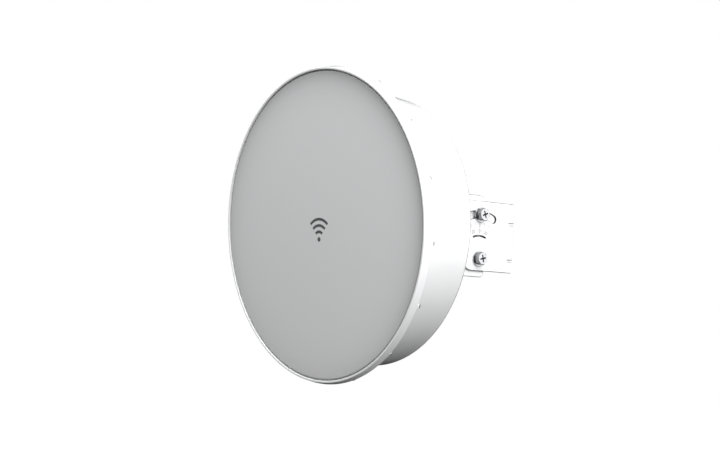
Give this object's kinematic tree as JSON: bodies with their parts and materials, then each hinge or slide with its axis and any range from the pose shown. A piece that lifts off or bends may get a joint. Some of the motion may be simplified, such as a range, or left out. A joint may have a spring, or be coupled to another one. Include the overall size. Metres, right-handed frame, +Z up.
{
  "type": "outdoor wireless bridge",
  "caption": "Shrouded dish antenna with a flat radome, a radio hub behind the reflector and a tilting steel bracket for a mast or wall.",
  "frame": {"origin": "centre of the rear face of the pole bracket's web, where it meets the mast or wall", "axes": "+Z up along the mast, +Y rearward out of the web's face, so the antenna looks along -Y; +X to the right"},
  "size_m": [0.354, 0.285, 0.353],
  "materials": {
    "white_plastic": "fine satin, UV-stable white moulding",
    "radome_grey": "satin light grey sheet",
    "rubber": "matt black",
    "dark_plastic": "satin black",
    "natural_plastic": "natural moulding",
    "white_paint": "white powder coat on steel sheet",
    "aluminium": "satin",
    "coated_aluminium": "white powder coat on aluminium",
    "circuit_board": "green solder mask",
    "contact_gold": "gold plated",
    "clear_lens": "clear moulding",
    "zinc": "bright zinc plate"
  },
  "bodies": {
    "pole_mount": {"pole_bracket": "white_paint", "pivot_bolt_right": "zinc", "pivot_bolt_left": "zinc", "pivot_washer_right": "zinc", "pivot_washer_left": "zinc", "pivot_spring_washer_right": "zinc", "pivot_spring_washer_left": "zinc", "pivot_nut_right": "zinc", "pivot_nut_left": "zinc"},
    "head": {"radome_rim": "white_plastic", "shroud": "white_plastic", "feed_cap": "white_plastic", "feed_collar": "white_plastic", "hub_housing": "white_plastic", "radome": "radome_grey", "rim_gasket": "rubber", "hub_front_seal": "rubber", "hub_rear_seal": "rubber", "reset_switch": "dark_plastic", "feed_tube": "natural_plastic", "feed_plug": "natural_plastic", "dish_bracket": "white_paint", "sub_reflector": "aluminium", "heat_spreader": "aluminium", "reflector_dish": "coated_aluminium", "hub_cover": "coated_aluminium", "feed_board": "circuit_board", "main_board": "circuit_board", "jack_contacts": "contact_gold", "light_pipe": "clear_lens", "shield_can": "zinc", "ethernet_jack": "zinc", "door_pin": "zinc", "reflector_screw_1": "zinc", "reflector_screw_2": "zinc", "reflector_screw_3": "zinc", "reflector_screw_4": "zinc", "reflector_screw_5": "zinc", "reflector_screw_6": "zinc", "cover_screw_1": "zinc", "cover_screw_2": "zinc", "cover_screw_3": "zinc", "cover_screw_4": "zinc", "bracket_screw_1": "zinc", "bracket_screw_2": "zinc", "bracket_screw_3": "zinc", "bracket_screw_4": "zinc", "tilt_bolt_right": "zinc", "tilt_bolt_left": "zinc", "tilt_washer_right": "zinc", "tilt_washer_left": "zinc", "tilt_spring_washer_right": "zinc", "tilt_spring_washer_left": "zinc", "tilt_nut_right": "zinc", "tilt_nut_left": "zinc"},
    "door": {"port_door": "white_plastic", "door_seal": "rubber"},
    "button": {"reset_button": "dark_plastic"}
  },
  "joints": [
    {"name": "elevation_tilt", "type": "hinge", "parent": "pole_mount", "child": "head", "pos_m": [0, -0.0575, -0.02135], "axis": [-1, 0, 0], "range_deg": [-20, 20]},
    {"name": "port_door_hinge", "type": "hinge", "parent": "head", "child": "door", "pos_m": [0, -0.1351, -0.0476], "axis": [-1, 0, 0], "range_deg": [0, 95]},
    {"name": "reset_press", "type": "slide", "parent": "head", "child": "button", "axis": [0, 0, 1], "range_m": [0, 0.0008], "stiffness_N_per_m": 1500}
  ]
}
